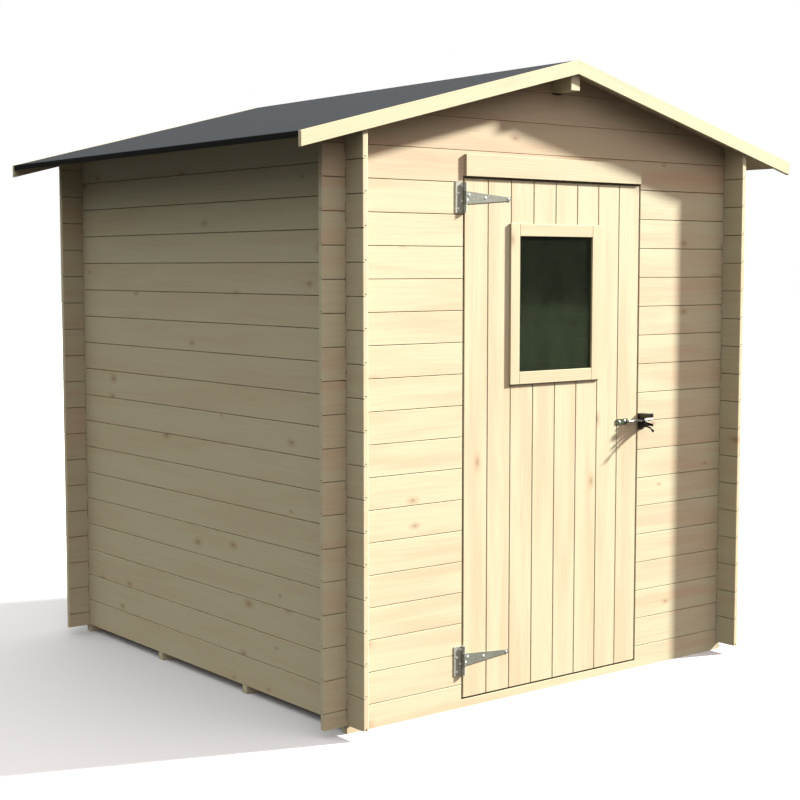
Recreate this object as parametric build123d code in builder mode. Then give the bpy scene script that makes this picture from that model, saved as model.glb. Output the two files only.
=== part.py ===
"""Wooden garden shed with crossing board walls, a low gable roof and one boarded door.

Millimetres. The origin is on the ground under the middle of the plan, with +Z up.
The front wall faces -Y and the door hangs on its -X edge.
"""

from build123d import *
import math
import os

os.makedirs("parts", exist_ok=True)

# Walls: boards laid flat on each other, notched where they cross at the corners
COURSE = 105
SIDE_COURSES = 18
WALL = 20
WALL_WIDTH = 1800
WALL_DEPTH = 1800
TIP = 90
TOP_BOARD_RISE = 8

# Joists under the walls, and the floor between the walls
JOIST_COUNT = 4
JOIST_WIDTH = 28
JOIST_HEIGHT = 28
FLOOR_BOARD = 16

# Roof
PITCH = 14.6
ROOF_BOARD = 16
FELT = 3
EAVE_OVERHANG = 234
RIDGE_BEAM_WIDTH = 41
RIDGE_BEAM_HEIGHT = 82
RIDGE_BEAM_DROP = 6
BARGEBOARD = 15
BARGEBOARD_HEIGHT = 47

# Doorway, with its posts and lintel inside the wall and its header outside
DOOR_WIDTH = 832
DOORWAY_HEIGHT = 1753
DOOR_GAP = 5
POST_WIDTH = 45
POST_DEPTH = 28
STOP_OVERLAP = 15
LINTEL_HEIGHT = 60
HEADER_HEIGHT = 72
HEADER_THICKNESS = 10

# Door leaf: upright boards on ledges and a brace
DOOR_BOARD = 15
LEDGE_HEIGHT = 95
LEDGE_THICKNESS = 20
LEDGE_CLEARANCE = 8
BRACE_WIDTH = 80

# Window in the door, hung from the top of the doorway
WINDOW_WIDTH = 430
WINDOW_HEIGHT = 545
WINDOW_DROP = 151
WINDOW_FRAME = 42
WINDOW_FRAME_THICKNESS = 8
GLASS = 4
GLASS_LAP = 12
GLASS_CLEARANCE = 2
BEAD_WIDTH = 10

# Strap hinges: the drop of the top one from the doorway's top, the rise of the other
HINGE_DROP = 70
HINGE_RISE = 136
HINGE_SHEET = 2.5
HINGE_PLATE_WIDTH = 38
HINGE_PLATE_HEIGHT = 100
BARREL_RADIUS = 6.5
PIN_RADIUS = 3
PIN_CLEARANCE = 0.08
KNUCKLE_CLEARANCE = 0.4
KNUCKLE_ROOM = 1
STRAP_LENGTH = 200
STRAP_ROOT = 45
STRAP_NECK = 12
STRAP_TIP_RADIUS = 8

# Latch: a striker bar on the door, a keeper with two jawed cheeks and a lifting lever
LATCH_HEIGHT = 897
STRIKER_PLATE_WIDTH = 61
STRIKER_PLATE_HEIGHT = 21
STRIKER_PLATE_INSET = 48
STRIKER_PLATE_CORNER = 6
LATCH_SHEET = 3
STRIKER_BAR_RADIUS = 4.5
STRIKER_BAR_STANDOFF = 15
STRIKER_BAR_REACH = 66
KEEPER_WIDTH = 32
KEEPER_SETBACK = 1
KEEPER_RISE = 26
KEEPER_DROP = 32
KEEPER_ARCH = 21
JAW_REACH = 48
JAW_THROAT = 14
JAW_MOUTH = 24
LOWER_JAW_TIP = 10
THROAT_CLEARANCE = 1
LEVER_THICKNESS = 7
LEVER_HUB_GAP = 1
LEVER_PIVOT_REACH = 12
LEVER_PIVOT_DROP = 20
LEVER_HUB_RADIUS = 7
LEVER_PIN_RADIUS = 2.5
LEVER_ARCH_RISE = 1
LEVER_ARCH_DROP = 5
LEVER_NECK = 5
LEVER_REACH = 61
LEVER_TIP_DROP = 35
LEVER_TIP_RADIUS = 5.5

# Places that follow from the sizes above
half_width = WALL_WIDTH / 2
half_depth = WALL_DEPTH / 2
wall_foot = JOIST_HEIGHT
end_reach_x = half_width + TIP
end_reach_y = half_depth + TIP
eaves_height = wall_foot + SIDE_COURSES * COURSE + TOP_BOARD_RISE
rise = math.tan(math.radians(PITCH))
plumb = 1 / math.cos(math.radians(PITCH))
roof_half_width = half_width + EAVE_OVERHANG
floor_top = wall_foot + FLOOR_BOARD
front_face = -half_depth
front_inside = front_face + WALL
half_door = DOOR_WIDTH / 2
half_doorway = half_door + DOOR_GAP
doorway_top = wall_foot + DOORWAY_HEIGHT
split_course = SIDE_COURSES - 1.5
beside_width = end_reach_x - half_doorway
beside_middle = (end_reach_x + half_doorway) / 2
latch_height = wall_foot + LATCH_HEIGHT
hinge_heights = {"top": doorway_top - HINGE_DROP, "bottom": wall_foot + HINGE_RISE}


def course_height(count):
    """Height of the joint above a number of board courses."""
    return wall_foot + count * COURSE


def roof_under(x):
    """Height of the underside of the roof boards."""
    return eaves_height + (half_width - abs(x)) * rise


def roof_top(x):
    """Height of the top of the felt."""
    return roof_under(x) + (ROOF_BOARD + FELT) * plumb


split_height = course_height(split_course)
beam_side = RIDGE_BEAM_WIDTH / 2
beam_bottom = roof_under(0) - RIDGE_BEAM_HEIGHT
beam_slot_bottom = beam_bottom - RIDGE_BEAM_DROP

# Joists, with their ends flush with the side walls
joist_names = ["joist_front", "joist_middle_front", "joist_middle_back", "joist_back"]
joist_pitch = (WALL_DEPTH - JOIST_WIDTH) / (JOIST_COUNT - 1)
for number, joist_name in enumerate(joist_names):
    joist_middle = front_face + JOIST_WIDTH / 2 + number * joist_pitch
    with BuildPart() as joist:
        with BuildSketch(Plane.XY):
            with Locations((0, joist_middle)):
                Rectangle(WALL_WIDTH, JOIST_WIDTH)
        extrude(amount=JOIST_HEIGHT)
    joist.part.label = joist_name
    export_step(joist.part, f"parts/{joist_name}.step")

# Floor between the walls
with BuildPart() as floor:
    with BuildSketch(Plane.XY.offset(wall_foot)):
        Rectangle(WALL_WIDTH - 2 * WALL, WALL_DEPTH - 2 * WALL)
    extrude(amount=FLOOR_BOARD)
floor.part.label = "floor"
export_step(floor.part, "parts/floor.step")

# Side walls: the notches take the front and back boards, half a course out of step
for wall_name, side in (("left_wall", -1), ("right_wall", 1)):
    outer = side * half_width
    inner = side * (half_width - WALL)
    with BuildPart() as side_wall:
        with BuildSketch(Plane.XZ.offset(-end_reach_y)):
            with BuildLine():
                Polyline(
                    (outer, wall_foot),
                    (inner, wall_foot),
                    (inner, roof_under(inner)),
                    (outer, roof_under(outer)),
                    close=True,
                )
            make_face()
        extrude(amount=2 * end_reach_y)
        with BuildSketch(Plane.YZ.offset(min(outer, inner))):
            for end in (-1, 1):
                for joint in range(SIDE_COURSES + 1):
                    with Locations((end * (half_depth - WALL / 2), course_height(joint))):
                        Rectangle(WALL, COURSE / 2)
        extrude(amount=WALL, mode=Mode.SUBTRACT)
    side_wall.part.label = wall_name
    export_step(side_wall.part, f"parts/{wall_name}.step")

# Outline of the front and back walls up to the roof, with what crosses them cut out
with BuildSketch() as gable_outline:
    with BuildLine():
        Polyline(
            (-end_reach_x, wall_foot),
            (end_reach_x, wall_foot),
            (end_reach_x, roof_under(end_reach_x)),
            (beam_side, roof_under(beam_side)),
            (beam_side, beam_slot_bottom),
            (-beam_side, beam_slot_bottom),
            (-beam_side, roof_under(beam_side)),
            (-end_reach_x, roof_under(end_reach_x)),
            close=True,
        )
    make_face()
    for end in (-1, 1):
        for board in range(SIDE_COURSES):
            with Locations((end * (half_width - WALL / 2), course_height(board + 0.5))):
                Rectangle(WALL, COURSE / 2, mode=Mode.SUBTRACT)

# Back wall with its gable, open at the top for the ridge beam
with BuildPart() as back_wall:
    with BuildSketch(Plane.XZ.offset(-half_depth)):
        add(gable_outline.sketch)
    extrude(amount=WALL)
back_wall.part.label = "back_wall"
export_step(back_wall.part, "parts/back_wall.step")

# Front wall beside the doorway, up to a joint a course and a half below the eaves
for wall_name, side in (("front_wall_left", -1), ("front_wall_right", 1)):
    with BuildPart() as front_wall:
        with BuildSketch(Plane.XZ.offset(-front_inside)):
            add(gable_outline.sketch)
            with Locations((side * beside_middle, (wall_foot + split_height) / 2)):
                Rectangle(beside_width, split_height - wall_foot, mode=Mode.INTERSECT)
        extrude(amount=WALL)
    front_wall.part.label = wall_name
    export_step(front_wall.part, f"parts/{wall_name}.step")

# Front wall over the doorway: its lowest board is notched over the door
with BuildPart() as front_gable:
    with BuildSketch(Plane.XZ.offset(-front_inside)):
        add(gable_outline.sketch)
        for side in (-1, 1):
            with Locations((side * beside_middle, (wall_foot + split_height) / 2)):
                Rectangle(beside_width, split_height - wall_foot, mode=Mode.SUBTRACT)
        with Locations((0, (wall_foot + doorway_top) / 2)):
            Rectangle(2 * half_doorway, doorway_top - wall_foot, mode=Mode.SUBTRACT)
    extrude(amount=WALL)
front_gable.part.label = "front_gable"
export_step(front_gable.part, "parts/front_gable.step")

# Header board on the face of the wall over the door
with BuildPart() as door_header:
    with BuildSketch(Plane.XZ.offset(-front_face)):
        with Locations((0, doorway_top + HEADER_HEIGHT / 2)):
            Rectangle(DOOR_WIDTH, HEADER_HEIGHT)
    extrude(amount=HEADER_THICKNESS)
door_header.part.label = "door_header"
export_step(door_header.part, "parts/door_header.step")

# Posts inside the wall that hold the cut board ends and stop the door
post_top = doorway_top - STOP_OVERLAP
post_inner_edge = half_doorway - STOP_OVERLAP
for post_name, side in (("door_post_left", -1), ("door_post_right", 1)):
    with BuildPart() as door_post:
        with BuildSketch(Plane.XY.offset(floor_top)):
            with Locations(
                (side * (post_inner_edge + POST_WIDTH / 2), front_inside + POST_DEPTH / 2)
            ):
                Rectangle(POST_WIDTH, POST_DEPTH)
        extrude(amount=post_top - floor_top)
    door_post.part.label = post_name
    export_step(door_post.part, f"parts/{post_name}.step")

# Lintel on the posts
with BuildPart() as door_lintel:
    with BuildSketch(Plane.XY.offset(post_top)):
        with Locations((0, front_inside + POST_DEPTH / 2)):
            Rectangle(2 * (post_inner_edge + POST_WIDTH), POST_DEPTH)
    extrude(amount=LINTEL_HEIGHT)
door_lintel.part.label = "door_lintel"
export_step(door_lintel.part, "parts/door_lintel.step")

# Ridge beam with its top planed to the two slopes
with BuildPart() as ridge_beam:
    with BuildSketch(Plane.XZ.offset(-end_reach_y)):
        with BuildLine():
            Polyline(
                (-beam_side, beam_bottom),
                (beam_side, beam_bottom),
                (beam_side, roof_under(beam_side)),
                (0, roof_under(0)),
                (-beam_side, roof_under(beam_side)),
                close=True,
            )
        make_face()
    extrude(amount=2 * end_reach_y)
ridge_beam.part.label = "ridge_beam"
export_step(ridge_beam.part, "parts/ridge_beam.step")

# Roof boards and the felt on them, folded down over the eaves
for side_name, side in (("left", -1), ("right", 1)):
    eave = side * roof_half_width
    board_plumb = ROOF_BOARD * plumb
    with BuildPart() as roof_boards:
        with BuildSketch(Plane.XZ.offset(-end_reach_y)):
            with BuildLine():
                Polyline(
                    (0, roof_under(0)),
                    (eave, roof_under(eave)),
                    (eave, roof_under(eave) + board_plumb),
                    (0, roof_under(0) + board_plumb),
                    close=True,
                )
            make_face()
        extrude(amount=2 * end_reach_y)
    roof_boards.part.label = f"roof_boards_{side_name}"
    export_step(roof_boards.part, f"parts/roof_boards_{side_name}.step")

    fold = side * (roof_half_width + FELT)
    with BuildPart() as roof_felt:
        with BuildSketch(Plane.XZ.offset(-end_reach_y)):
            with BuildLine():
                Polyline(
                    (0, roof_under(0) + board_plumb),
                    (eave, roof_under(eave) + board_plumb),
                    (eave, roof_under(eave)),
                    (fold, roof_under(fold)),
                    (fold, roof_top(fold)),
                    (0, roof_top(0)),
                    close=True,
                )
            make_face()
        extrude(amount=2 * end_reach_y)
    roof_felt.part.label = f"roof_felt_{side_name}"
    export_step(roof_felt.part, f"parts/roof_felt_{side_name}.step")

# Bargeboards on the ends of the roof, cut plumb at the ridge and at the eaves
for end_name, back_face in (("front", -end_reach_y), ("back", end_reach_y + BARGEBOARD)):
    for side_name, side in (("left", -1), ("right", 1)):
        foot = side * (roof_half_width + FELT)
        with BuildPart() as bargeboard:
            with BuildSketch(Plane.XZ.offset(-back_face)):
                with BuildLine():
                    Polyline(
                        (0, roof_top(0)),
                        (foot, roof_top(foot)),
                        (foot, roof_top(foot) - BARGEBOARD_HEIGHT),
                        (0, roof_top(0) - BARGEBOARD_HEIGHT),
                        close=True,
                    )
                make_face()
            extrude(amount=BARGEBOARD)
        bargeboard.part.label = f"bargeboard_{end_name}_{side_name}"
        export_step(bargeboard.part, f"parts/bargeboard_{end_name}_{side_name}.step")

# Door leaf with its window opening
door_foot = wall_foot + DOOR_GAP
door_top = doorway_top - DOOR_GAP
door_back = front_face + DOOR_BOARD
window_middle = doorway_top - WINDOW_DROP - WINDOW_HEIGHT / 2
sight_width = WINDOW_WIDTH - 2 * WINDOW_FRAME
sight_height = WINDOW_HEIGHT - 2 * WINDOW_FRAME
cut_width = sight_width + 2 * GLASS_LAP
cut_height = sight_height + 2 * GLASS_LAP
with BuildPart() as door_leaf:
    with BuildSketch(Plane.XZ.offset(-door_back)):
        with Locations((0, (door_foot + door_top) / 2)):
            Rectangle(DOOR_WIDTH, door_top - door_foot)
        with Locations((0, window_middle)):
            Rectangle(cut_width, cut_height, mode=Mode.SUBTRACT)
    extrude(amount=DOOR_BOARD)
door_leaf.part.label = "door_leaf"
export_step(door_leaf.part, "parts/door_leaf.step")

# Ledges across the back of the door, level with the hinges and the latch
ledge_half = post_inner_edge - LEDGE_CLEARANCE
ledge_back = door_back + LEDGE_THICKNESS
ledge_heights = {
    "top": hinge_heights["top"],
    "middle": latch_height,
    "bottom": hinge_heights["bottom"],
}
for ledge_name, height in ledge_heights.items():
    with BuildPart() as door_ledge:
        with BuildSketch(Plane.XZ.offset(-ledge_back)):
            with Locations((0, height)):
                Rectangle(2 * ledge_half, LEDGE_HEIGHT)
        extrude(amount=LEDGE_THICKNESS)
    door_ledge.part.label = f"door_ledge_{ledge_name}"
    export_step(door_ledge.part, f"parts/door_ledge_{ledge_name}.step")

# Brace from the hinge side of the bottom ledge up to the latch side of the middle one
brace_low = ledge_heights["bottom"] + LEDGE_HEIGHT / 2
brace_high = ledge_heights["middle"] - LEDGE_HEIGHT / 2
with BuildPart() as door_brace:
    with BuildSketch(Plane.XZ.offset(-ledge_back)):
        with BuildLine():
            Polyline(
                (-ledge_half, brace_low),
                (-ledge_half + BRACE_WIDTH, brace_low),
                (ledge_half, brace_high),
                (ledge_half - BRACE_WIDTH, brace_high),
                close=True,
            )
        make_face()
    extrude(amount=LEDGE_THICKNESS)
door_brace.part.label = "door_brace"
export_step(door_brace.part, "parts/door_brace.step")

# Window frame on the face of the door: rails between two stiles
for stile_name, side in (("window_stile_left", -1), ("window_stile_right", 1)):
    with BuildPart() as window_stile:
        with BuildSketch(Plane.XZ.offset(-front_face)):
            with Locations((side * (WINDOW_WIDTH - WINDOW_FRAME) / 2, window_middle)):
                Rectangle(WINDOW_FRAME, WINDOW_HEIGHT)
        extrude(amount=WINDOW_FRAME_THICKNESS)
    window_stile.part.label = stile_name
    export_step(window_stile.part, f"parts/{stile_name}.step")

for rail_name, side in (("window_rail_bottom", -1), ("window_rail_top", 1)):
    rail_middle = window_middle + side * (WINDOW_HEIGHT - WINDOW_FRAME) / 2
    with BuildPart() as window_rail:
        with BuildSketch(Plane.XZ.offset(-front_face)):
            with Locations((0, rail_middle)):
                Rectangle(sight_width, WINDOW_FRAME)
        extrude(amount=WINDOW_FRAME_THICKNESS)
    window_rail.part.label = rail_name
    export_step(window_rail.part, f"parts/{rail_name}.step")

# Glass behind the frame, and the beading that holds it in the boards
glass_back = front_face + GLASS
with BuildPart() as window_glass:
    with BuildSketch(Plane.XZ.offset(-glass_back)):
        with Locations((0, window_middle)):
            Rectangle(cut_width - 2 * GLASS_CLEARANCE, cut_height - 2 * GLASS_CLEARANCE)
    extrude(amount=GLASS)
window_glass.part.label = "window_glass"
export_step(window_glass.part, "parts/window_glass.step")

with BuildPart() as window_beading:
    with BuildSketch(Plane.XZ.offset(-door_back)):
        with Locations((0, window_middle)):
            Rectangle(cut_width, cut_height)
            Rectangle(
                cut_width - 2 * BEAD_WIDTH,
                cut_height - 2 * BEAD_WIDTH,
                mode=Mode.SUBTRACT,
            )
    extrude(amount=DOOR_BOARD - GLASS)
window_beading.part.label = "window_beading"
export_step(window_beading.part, "parts/window_beading.step")

# Hinges: the wall plate carries the pin, and the strap turns on it
hinge_x = -half_door - DOOR_GAP / 2
hinge_y = front_face - BARREL_RADIUS
bore_radius = PIN_RADIUS + PIN_CLEARANCE
knuckle_height = STRAP_ROOT - 2 * KNUCKLE_CLEARANCE
knuckle_room = 2 * (BARREL_RADIUS + KNUCKLE_ROOM)
for hinge_name, middle in hinge_heights.items():
    with BuildPart() as hinge_plate:
        with BuildSketch(Plane.XZ.offset(-front_face)):
            with Locations((hinge_x - HINGE_PLATE_WIDTH / 2, middle)):
                Rectangle(HINGE_PLATE_WIDTH, HINGE_PLATE_HEIGHT)
        extrude(amount=HINGE_SHEET)
        with BuildSketch(Plane.XY.offset(middle - HINGE_PLATE_HEIGHT / 2)):
            with Locations((hinge_x, hinge_y)):
                Circle(BARREL_RADIUS)
        extrude(amount=HINGE_PLATE_HEIGHT)
        with BuildSketch(Plane.XY.offset(middle - STRAP_ROOT / 2)):
            with Locations((hinge_x, hinge_y)):
                Rectangle(knuckle_room, knuckle_room)
        extrude(amount=STRAP_ROOT, mode=Mode.SUBTRACT)
        with BuildSketch(Plane.XY.offset(middle - HINGE_PLATE_HEIGHT / 2)):
            with Locations((hinge_x, hinge_y)):
                Circle(PIN_RADIUS)
        extrude(amount=HINGE_PLATE_HEIGHT)
    hinge_plate.part.label = f"hinge_plate_{hinge_name}"
    export_step(hinge_plate.part, f"parts/hinge_plate_{hinge_name}.step")

    with BuildPart() as hinge_strap:
        with BuildSketch(Plane.XZ.offset(-front_face)):
            with BuildLine():
                Polyline(
                    (hinge_x, middle - knuckle_height / 2),
                    (hinge_x + STRAP_LENGTH, middle - STRAP_NECK / 2),
                    (hinge_x + STRAP_LENGTH, middle + STRAP_NECK / 2),
                    (hinge_x, middle + knuckle_height / 2),
                    close=True,
                )
            make_face()
            with Locations((hinge_x + STRAP_LENGTH, middle)):
                Circle(STRAP_TIP_RADIUS)
        extrude(amount=HINGE_SHEET)
        with BuildSketch(Plane.XY.offset(middle - knuckle_height / 2)):
            with Locations((hinge_x, hinge_y)):
                Circle(BARREL_RADIUS)
        extrude(amount=knuckle_height)
        with BuildSketch(Plane.XY.offset(middle - knuckle_height / 2)):
            with Locations((hinge_x, hinge_y)):
                Circle(bore_radius)
        extrude(amount=knuckle_height, mode=Mode.SUBTRACT)
    hinge_strap.part.label = f"hinge_strap_{hinge_name}"
    export_step(hinge_strap.part, f"parts/hinge_strap_{hinge_name}.step")

# Striker: a plate on the door with a bar that reaches over to the wall
plate_left = half_door - STRIKER_PLATE_INSET - STRIKER_PLATE_WIDTH
plate_right = half_door - STRIKER_PLATE_INSET
bar_y = front_face - STRIKER_BAR_STANDOFF
bar_start = plate_right - 2 * STRIKER_BAR_RADIUS
with BuildPart() as latch_striker:
    with BuildSketch(Plane.XZ.offset(-front_face)):
        with Locations(((plate_left + plate_right) / 2, latch_height)):
            RectangleRounded(STRIKER_PLATE_WIDTH, STRIKER_PLATE_HEIGHT, STRIKER_PLATE_CORNER)
    extrude(amount=LATCH_SHEET)
    with BuildSketch(Plane.XZ.offset(-front_face)):
        with Locations((plate_right - STRIKER_BAR_RADIUS, latch_height)):
            Circle(STRIKER_BAR_RADIUS)
    extrude(amount=STRIKER_BAR_STANDOFF)
    with BuildSketch(Plane.YZ.offset(bar_start)):
        with Locations((bar_y, latch_height)):
            Circle(STRIKER_BAR_RADIUS)
    extrude(amount=half_door + STRIKER_BAR_REACH - bar_start)
latch_striker.part.label = "latch_striker"
export_step(latch_striker.part, "parts/latch_striker.step")

# Keeper: a plate on the wall with two cheeks, whose jaws the bar swings into,
# closed over the upper jaw by a folded cover
keeper_left = half_doorway + KEEPER_SETBACK
keeper_right = keeper_left + KEEPER_WIDTH
keeper_middle = (keeper_left + keeper_right) / 2
keeper_top = latch_height + KEEPER_RISE
keeper_bottom = latch_height - KEEPER_DROP
inner_width = KEEPER_WIDTH - 2 * LATCH_SHEET
jaw_tip = front_face - JAW_REACH
pivot_y = front_face - LEVER_PIVOT_REACH
pivot_z = latch_height - LEVER_PIVOT_DROP
throat_back = bar_y + STRIKER_BAR_RADIUS + THROAT_CLEARANCE
with BuildPart() as latch_keeper:
    with BuildSketch(Plane.XZ.offset(-front_face)):
        with Locations((keeper_middle, (keeper_top + keeper_bottom) / 2)):
            Rectangle(KEEPER_WIDTH, keeper_top - keeper_bottom)
    extrude(amount=LATCH_SHEET)
    with BuildSketch(
        Plane.YZ.offset(keeper_left),
        Plane.YZ.offset(keeper_right - LATCH_SHEET),
    ):
        with BuildLine():
            arch = ThreePointArc(
                (front_face, keeper_bottom),
                (front_face - JAW_REACH / 2, latch_height - KEEPER_ARCH),
                (jaw_tip, latch_height - JAW_MOUTH / 2 - LOWER_JAW_TIP),
            )
            Polyline(
                arch @ 1,
                (jaw_tip, latch_height - JAW_MOUTH / 2),
                (throat_back, latch_height - JAW_THROAT / 2),
                (throat_back, latch_height + JAW_THROAT / 2),
                (jaw_tip, latch_height + JAW_MOUTH / 2),
                (jaw_tip, keeper_top),
                (front_face, keeper_top),
                arch @ 0,
            )
        make_face()
    extrude(amount=LATCH_SHEET)
    with BuildSketch(Plane.YZ.offset(keeper_left + LATCH_SHEET)):
        with BuildLine():
            Polyline(
                (front_face, keeper_top),
                (jaw_tip, keeper_top),
                (jaw_tip, latch_height + JAW_MOUTH / 2),
                (jaw_tip + LATCH_SHEET, latch_height + JAW_MOUTH / 2),
                (jaw_tip + LATCH_SHEET, keeper_top - LATCH_SHEET),
                (front_face, keeper_top - LATCH_SHEET),
                close=True,
            )
        make_face()
        with Locations((pivot_y, pivot_z)):
            Circle(LEVER_PIN_RADIUS)
    extrude(amount=inner_width)
latch_keeper.part.label = "latch_keeper"
export_step(latch_keeper.part, "parts/latch_keeper.step")

# Lever with a hub on the keeper's pin, an arched arm and a ball end
lever_left = keeper_middle - LEVER_THICKNESS / 2
hub_width = inner_width - 2 * LEVER_HUB_GAP
hub_left = keeper_middle - hub_width / 2
lever_tip_y = front_face - LEVER_REACH
lever_tip_z = latch_height - LEVER_TIP_DROP
lever_mid_y = (pivot_y + lever_tip_y) / 2
with BuildPart() as latch_lever:
    with BuildSketch(Plane.YZ.offset(lever_left)):
        with BuildLine():
            upper = ThreePointArc(
                (pivot_y, pivot_z + LEVER_HUB_RADIUS),
                (lever_mid_y, pivot_z + LEVER_ARCH_RISE),
                (lever_tip_y, lever_tip_z + LEVER_NECK / 2),
            )
            Line(upper @ 1, (lever_tip_y, lever_tip_z - LEVER_NECK / 2))
            lower = ThreePointArc(
                (lever_tip_y, lever_tip_z - LEVER_NECK / 2),
                (lever_mid_y, pivot_z - LEVER_ARCH_DROP),
                (pivot_y, pivot_z - LEVER_HUB_RADIUS),
            )
            Line(lower @ 1, upper @ 0)
        make_face()
    extrude(amount=LEVER_THICKNESS)
    with BuildSketch(Plane.YZ.offset(hub_left)):
        with Locations((pivot_y, pivot_z)):
            Circle(LEVER_HUB_RADIUS)
    extrude(amount=hub_width)
    with Locations((keeper_middle, lever_tip_y, lever_tip_z)):
        Sphere(LEVER_TIP_RADIUS)
    with BuildSketch(Plane.YZ.offset(hub_left)):
        with Locations((pivot_y, pivot_z)):
            Circle(LEVER_PIN_RADIUS + PIN_CLEARANCE)
    extrude(amount=hub_width, mode=Mode.SUBTRACT)
latch_lever.part.label = "latch_lever"
export_step(latch_lever.part, "parts/latch_lever.step")
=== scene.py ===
"""Looks of the wooden garden shed: its boards, felt, ironmongery, glass and their finishes.

Metres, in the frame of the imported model: +Z up, the front wall faces -Y, the door hangs on -X.
"""

import math
import random

import bmesh
import bpy
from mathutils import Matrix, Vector, noise


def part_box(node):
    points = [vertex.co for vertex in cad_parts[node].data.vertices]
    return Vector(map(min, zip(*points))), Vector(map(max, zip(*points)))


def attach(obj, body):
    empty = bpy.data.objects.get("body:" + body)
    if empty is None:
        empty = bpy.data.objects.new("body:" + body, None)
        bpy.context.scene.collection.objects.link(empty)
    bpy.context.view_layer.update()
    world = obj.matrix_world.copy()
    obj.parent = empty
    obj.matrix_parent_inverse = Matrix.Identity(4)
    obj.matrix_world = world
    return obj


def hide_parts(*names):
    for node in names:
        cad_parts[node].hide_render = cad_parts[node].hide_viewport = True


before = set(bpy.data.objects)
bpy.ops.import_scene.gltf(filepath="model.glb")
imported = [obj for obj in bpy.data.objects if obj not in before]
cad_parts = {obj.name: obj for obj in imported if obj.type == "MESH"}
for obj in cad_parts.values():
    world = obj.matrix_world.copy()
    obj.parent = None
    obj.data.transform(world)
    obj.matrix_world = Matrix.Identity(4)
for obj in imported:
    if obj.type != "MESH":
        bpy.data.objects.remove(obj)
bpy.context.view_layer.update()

chance = random.Random(41)
X = Vector((1, 0, 0))
Y = Vector((0, 1, 0))
Z = Vector((0, 0, 1))

# Camera at the photograph's place
CAMERA_PLACE = (-3.7298, -4.7683, 1.4825)
CAMERA_TURN = 38.2008
CAMERA_DROP = 4.9274
CAMERA_LENS = 69.207
CAMERA_SENSOR = 36

# Key light
KEY_TRAVEL = (-2.9, 1.0, -1.7)
KEY_STRENGTH = 12.0
KEY_ANGLE = 3.5
KEY_COLOUR = (1.0, 0.985, 0.945)

# Surrounding light: dim up to the height SKY_START of its direction and full from SKY_FULL.
# In front of the shed its height counts as up to FRONT_LIFT more.
SKY_LIGHT = 1.45
GROUND_LIGHT = 0.11
SKY_START = 0.15
SKY_FULL = 0.75
FRONT_LIFT = 0.17
LEFT_TINT = (0.91, 0.96, 0.95)
FRONT_TINT = (1.11, 0.95, 0.94)

# Backdrop and floor
BACKDROP = 1.0
FLOOR_RADIUS = 60
FLOOR_SIDES = 96
FLOOR_TONE = 0.85

# Net that thins the key light on the right wall, which faces it squarely
NET_X = 3.8
NET_Y = (-1.86, 0.2)
NET_Z = (1.65, 3.45)
NET_PASSES = 0.35

# Boards of the walls: they meet in a small V with a tongue in a groove behind it.
# Beside the doorway the front wall is COURSES_BESIDE_DOOR high, and its gable starts there.
SIDE_COURSES = 18
COURSES_BESIDE_DOOR = 16.5
BOARD_CHAMFER = 0.0020
BOARD_GAP = 0.0009
GABLE_CHAMFER = 0.0011
GABLE_GAP = 0.0005
TONGUE_HALF = 0.0025
TONGUE_RISE = 0.007
GROOVE_HALF = 0.003
GROOVE_DEPTH = 0.008
PLANED_EDGE = 0.001
FINE_EDGE = 0.0003

# Other boards and trim
DOOR_BOARDS = 8
DOOR_CHAMFER = 0.0025
DOOR_BOARD_GAP = 0.0013
THIN_TONGUE_HALF = 0.0018
THIN_GROOVE_HALF = 0.0022
FLOOR_BOARDS = 17
ROOF_BOARDS = 18
BEAD_WIDTH = 0.010
BRACE_WIDTH = 0.080
BEAM_CLEARANCE = 0.006

# Felt: steps of its mesh each way, how far it sinks in waves, and the round of its fold
FELT_STEPS = 60
FELT_WAVE = 0.0007
WAVES_A_METRE = 5
FOLD_START = 0.3
FOLD_RISE = 0.75
FOLD_DROP = 0.92
FELT_SMOOTH = 30

# Faces of the felt past the eave whose normal is less upright than STEEP belong to the fold,
# which gets a near-black copy of the felt as painted shade
EAVE_MARGIN = 0.0001
STEEP = 0.8

# Ironmongery: its sheets' thickness. What stands BAR_MARGIN out of the striker is its bar.
HINGE_SHEET = 0.0025
STRIKER_SHEET = 0.003
BAR_MARGIN = 0.0001
SOFT_EDGE = 0.0004
SOFT_EDGE_ANGLE = 50
GLASS_EDGE = 0.0003

# Screws: their radii, and their places along and up from the hinge's pin or the striker's end
HINGE_SCREW = 0.0052
LATCH_SCREW = 0.0046
PLATE_SCREWS = ((0.010, 0.038), (0.026, 0.012), (0.010, -0.012), (0.026, -0.038))
STRAP_SCREWS = ((0.020, 0.009), (0.012, -0.009), (0.092, 0.0), (0.196, 0.0))
STRIKER_SCREWS = ((0.018, -0.001), (0.044, 0.002))

# Screw head of radius 1: the radii of its rings, its rise and the cross sunk into it
SCREW_SIDES = 24
SCREW_RINGS = (1.0, 0.97, 0.85, 0.62, 0.34)
SCREW_RISE = 0.32
SCREW_SMOOTH = 35
CROSS_REACH = 0.62
CROSS_WIDTH = 0.22
CROSS_DEPTH = 0.24

# Grain of a board: how far along the log it may start, where the heart of the log lies beside
# and behind it, and the width and sway of the rings
LOG_LENGTH = 40
HEART_SIDEWAYS = 0.05
HEART_DISTANCE = (0.03, 0.09)
RING_WIDTH = 0.0085
RING_SWAY = 0.05

# Patterns of the wood: repeats a metre along the board, across it and through it
SWAY_SCALE = (1.1, 9, 9)
BAND_SCALE = (1.6, 17, 17)
FIBRE_SCALE = (7, 300, 300)
KNOT_CELLS = (4.6, 9.0, 0.0)

# How far the tone of a board shifts its bands, and how strongly rings and fibres stain it
TONE_SHIFT = 0.06
RING_STAIN = 0.08
FIBRE_STAIN = 0.18
WOOD_SHINE = 0.35

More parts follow.
